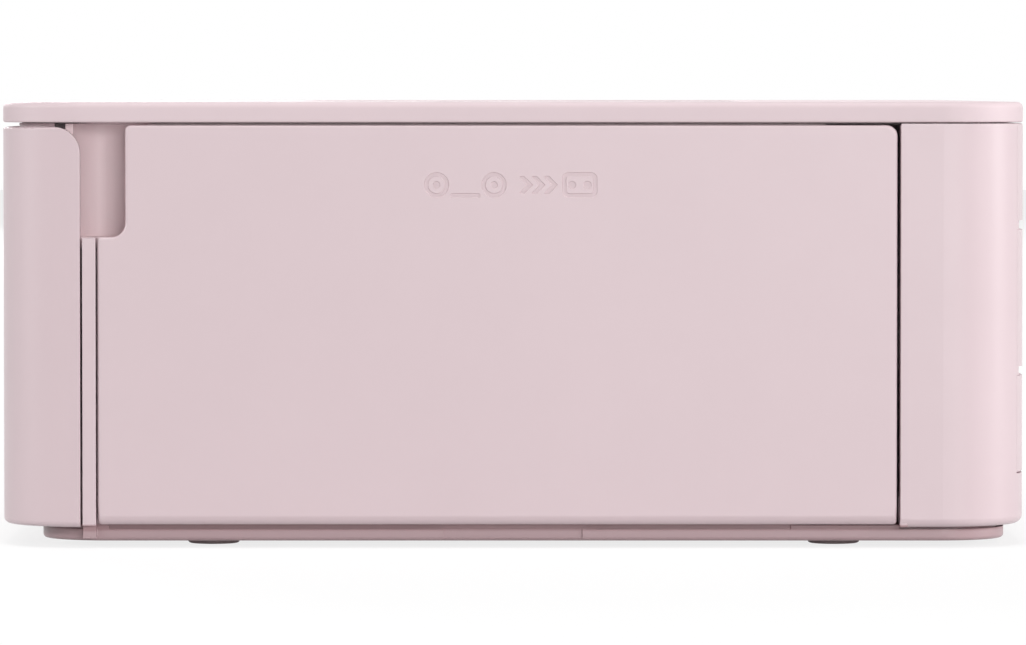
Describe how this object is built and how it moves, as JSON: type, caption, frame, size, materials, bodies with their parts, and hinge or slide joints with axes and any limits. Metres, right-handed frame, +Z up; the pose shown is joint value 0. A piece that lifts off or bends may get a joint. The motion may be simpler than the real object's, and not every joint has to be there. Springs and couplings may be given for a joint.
{
  "type": "photo printer",
  "caption": "Compact pink photo printer with a hinged side door over a slide-out ink cassette, a drop-down paper door, push buttons and a geared thermal print mechanism.",
  "frame": {"origin": "on the table, under the middle of the printer's plan", "axes": "+X towards the side with the ink door, +Y from the front with the paper door to the rear, +Z up"},
  "size_m": [0.1822, 0.133, 0.0576],
  "materials": {
    "shell_pink": "satin",
    "key_pink": "satin",
    "inner_pink": "fine matt",
    "foot_rubber": "matt",
    "roller_rubber": "ground",
    "zinc_steel": "zinc plated",
    "sheet_steel": "galvanised sheet",
    "shaft_steel": "ground",
    "window": "polished",
    "lcd": "smooth",
    "board_green": "solder resist",
    "acetal": "as moulded",
    "cassette_black": "fine matt",
    "ink_ribbon": "smooth film",
    "ink_yellow": "smooth film",
    "glazed_head": "glazed",
    "sink_alu": "extruded"
  },
  "bodies": {
    "housing": {"base_casing": "inner_pink", "rubber_feet": "foot_rubber", "base_screws": "zinc_steel", "main_shell": "shell_pink", "rear_panel": "shell_pink", "front_bezel": "shell_pink", "top_cover": "shell_pink", "screen_window": "window", "lcd_panel": "lcd", "key_board": "board_green", "ink_bay_frame": "inner_pink", "chassis_left": "sheet_steel", "chassis_right": "sheet_steel", "chassis_deck": "sheet_steel", "motor_bracket": "sheet_steel", "paper_guide": "acetal", "rear_guide": "acetal", "head_pivot_shaft": "shaft_steel", "head_springs": "zinc_steel", "roller_bushes": "acetal", "feed_motor": "zinc_steel", "ribbon_motor": "zinc_steel", "main_board": "board_green", "card_socket": "zinc_steel", "usb_port": "zinc_steel", "power_board": "board_green", "dc_jack": "cassette_black"},
    "ink_door": {"ink_door": "shell_pink"},
    "paper_door": {"paper_door": "shell_pink"},
    "eject_lever": {"eject_lever": "acetal"},
    "cassette": {"ink_cassette": "cassette_black", "ink_film": "ink_ribbon"},
    "supply_spool": {"supply_spool": "ink_yellow"},
    "takeup_spool": {"takeup_spool": "ink_ribbon"},
    "takeup_spindle": {"takeup_spindle": "acetal"},
    "ribbon_pinion": {"ribbon_pinion": "acetal"},
    "feed_roller": {"feed_roller": "shaft_steel"},
    "clutch_gear": {"clutch_gear": "acetal"},
    "reduction_gear": {"reduction_gear": "acetal"},
    "feed_pinion": {"feed_pinion": "acetal"},
    "platen_roller": {"platen_roller": "roller_rubber"},
    "pinch_roller": {"pinch_roller": "roller_rubber"},
    "cam_shaft": {"cam_shaft": "acetal"},
    "head": {"head_arm": "zinc_steel", "head_sink": "sink_alu", "thermal_head": "glazed_head"},
    "pickup_roller": {"pickup_roller": "roller_rubber"},
    "button_power": {"button_power": "key_pink"},
    "button_edit": {"button_edit": "key_pink"},
    "button_menu": {"button_menu": "key_pink"},
    "button_zoom_out": {"button_zoom_out": "key_pink"},
    "button_zoom_in": {"button_zoom_in": "key_pink"},
    "button_up": {"button_up": "key_pink"},
    "button_down": {"button_down": "key_pink"},
    "button_left": {"button_left": "key_pink"},
    "button_right": {"button_right": "key_pink"},
    "button_ok": {"button_ok": "key_pink"},
    "button_back": {"button_back": "key_pink"},
    "button_print": {"button_print": "key_pink"}
  },
  "joints": [
    {"name": "ink_door_hinge", "type": "hinge", "parent": "housing", "child": "ink_door", "pos_m": [0.0885, 0.04248, 0.03], "axis": [0, 0, 1], "range_deg": [0, 100]},
    {"name": "paper_door_hinge", "type": "hinge", "parent": "housing", "child": "paper_door", "pos_m": [0, -0.0635, 0.007], "axis": [1, 0, 0], "range_deg": [0, 90]},
    {"name": "cassette_slide", "type": "slide", "parent": "housing", "child": "cassette", "axis": [1, 0, 0], "range_m": [0, 0.003]},
    {"name": "eject_lever_pivot", "type": "hinge", "parent": "housing", "child": "eject_lever", "pos_m": [0.0762, -0.0495, 0.035], "axis": [0, 0, -1], "range_deg": [0, 28]},
    {"name": "takeup_spindle_turn", "type": "hinge", "parent": "housing", "child": "takeup_spindle", "pos_m": [-0.05, 0.025, 0.038], "axis": [1, 0, 0], "continuous": true},
    {"name": "ribbon_pinion_turn", "type": "hinge", "parent": "housing", "child": "ribbon_pinion", "pos_m": [-0.06, 0.0105, 0.038], "axis": [1, 0, 0], "continuous": true},
    {"name": "takeup_spool_turn", "type": "hinge", "parent": "cassette", "child": "takeup_spool", "pos_m": [0, 0.025, 0.038], "axis": [1, 0, 0], "continuous": true},
    {"name": "supply_spool_turn", "type": "hinge", "parent": "cassette", "child": "supply_spool", "pos_m": [0, -0.029, 0.038], "axis": [1, 0, 0], "continuous": true},
    {"name": "feed_roller_turn", "type": "hinge", "parent": "housing", "child": "feed_roller", "pos_m": [0, 0.012, 0.02], "axis": [1, 0, 0], "continuous": true},
    {"name": "clutch_gear_turn", "type": "hinge", "parent": "housing", "child": "clutch_gear", "pos_m": [-0.052, -0.00033, 0.02498], "axis": [1, 0, 0], "continuous": true},
    {"name": "reduction_gear_turn", "type": "hinge", "parent": "housing", "child": "reduction_gear", "pos_m": [-0.055, 0.02465, 0.01589], "axis": [1, 0, 0], "continuous": true},
    {"name": "feed_pinion_turn", "type": "hinge", "parent": "housing", "child": "feed_pinion", "pos_m": [-0.058, 0.03825, 0.02374], "axis": [1, 0, 0], "continuous": true},
    {"name": "platen_roller_turn", "type": "hinge", "parent": "housing", "child": "platen_roller", "pos_m": [0, -0.002, 0.019], "axis": [1, 0, 0], "continuous": true},
    {"name": "pinch_roller_turn", "type": "hinge", "parent": "housing", "child": "pinch_roller", "pos_m": [0, 0.012, 0.02675], "axis": [1, 0, 0], "continuous": true},
    {"name": "cam_shaft_turn", "type": "hinge", "parent": "housing", "child": "cam_shaft", "pos_m": [0, -0.013, 0.0122], "axis": [-1, 0, 0], "range_deg": [0, 120]},
    {"name": "head_swing", "type": "hinge", "parent": "housing", "child": "head", "pos_m": [0, -0.047, 0.03], "axis": [-1, 0, 0], "range_deg": [0, 3.08]},
    {"name": "pickup_roller_turn", "type": "hinge", "parent": "housing", "child": "pickup_roller", "pos_m": [0, -0.02396, 0.01919], "axis": [-1, 0, 0], "range_deg": [-280, 0]},
    {"name": "button_power_press", "type": "slide", "parent": "housing", "child": "button_power", "axis": [0, 0, -1], "range_m": [0, 0.0003], "stiffness_N_per_m": 300},
    {"name": "button_edit_press", "type": "slide", "parent": "housing", "child": "button_edit", "axis": [0, 0, -1], "range_m": [0, 0.0003], "stiffness_N_per_m": 300},
    {"name": "button_menu_press", "type": "slide", "parent": "housing", "child": "button_menu", "axis": [0, 0, -1], "range_m": [0, 0.0003], "stiffness_N_per_m": 300},
    {"name": "button_zoom_out_press", "type": "slide", "parent": "housing", "child": "button_zoom_out", "axis": [0, 0, -1], "range_m": [0, 0.0003], "stiffness_N_per_m": 300},
    {"name": "button_zoom_in_press", "type": "slide", "parent": "housing", "child": "button_zoom_in", "axis": [0, 0, -1], "range_m": [0, 0.0003], "stiffness_N_per_m": 300},
    {"name": "button_up_press", "type": "slide", "parent": "housing", "child": "button_up", "axis": [0, 0, -1], "range_m": [0, 0.0003], "stiffness_N_per_m": 300},
    {"name": "button_down_press", "type": "slide", "parent": "housing", "child": "button_down", "axis": [0, 0, -1], "range_m": [0, 0.0003], "stiffness_N_per_m": 300},
    {"name": "button_left_press", "type": "slide", "parent": "housing", "child": "button_left", "axis": [0, 0, -1], "range_m": [0, 0.0003], "stiffness_N_per_m": 300},
    {"name": "button_right_press", "type": "slide", "parent": "housing", "child": "button_right", "axis": [0, 0, -1], "range_m": [0, 0.0003], "stiffness_N_per_m": 300},
    {"name": "button_ok_press", "type": "slide", "parent": "housing", "child": "button_ok", "axis": [0, 0, -1], "range_m": [0, 0.0003], "stiffness_N_per_m": 300},
    {"name": "button_back_press", "type": "slide", "parent": "housing", "child": "button_back", "axis": [0, 0, -1], "range_m": [0, 0.0003], "stiffness_N_per_m": 300},
    {"name": "button_print_press", "type": "slide", "parent": "housing", "child": "button_print", "axis": [0, 0, -1], "range_m": [0, 0.0003], "stiffness_N_per_m": 300}
  ],
  "couplings": [
    {"joint": "eject_lever_pivot", "follows": "cassette_slide", "rad_per_m": 147.77},
    {"joint": "ribbon_pinion_turn", "follows": "takeup_spindle_turn", "ratio": -3},
    {"joint": "takeup_spool_turn", "follows": "takeup_spindle_turn", "ratio": 1},
    {"joint": "supply_spool_turn", "follows": "takeup_spindle_turn", "ratio": 0.75},
    {"joint": "clutch_gear_turn", "follows": "feed_roller_turn", "ratio": -2.1429},
    {"joint": "reduction_gear_turn", "follows": "feed_roller_turn", "ratio": -2.1429},
    {"joint": "feed_pinion_turn", "follows": "feed_roller_turn", "ratio": 7.1429},
    {"joint": "platen_roller_turn", "follows": "feed_roller_turn", "ratio": 0.7},
    {"joint": "pinch_roller_turn", "follows": "feed_roller_turn", "ratio": -1.1667},
    {"joint": "head_swing", "follows": "cam_shaft_turn", "ratio": 0.025477},
    {"joint": "pickup_roller_turn", "follows": "cam_shaft_turn", "ratio": -2.3077}
  ]
}
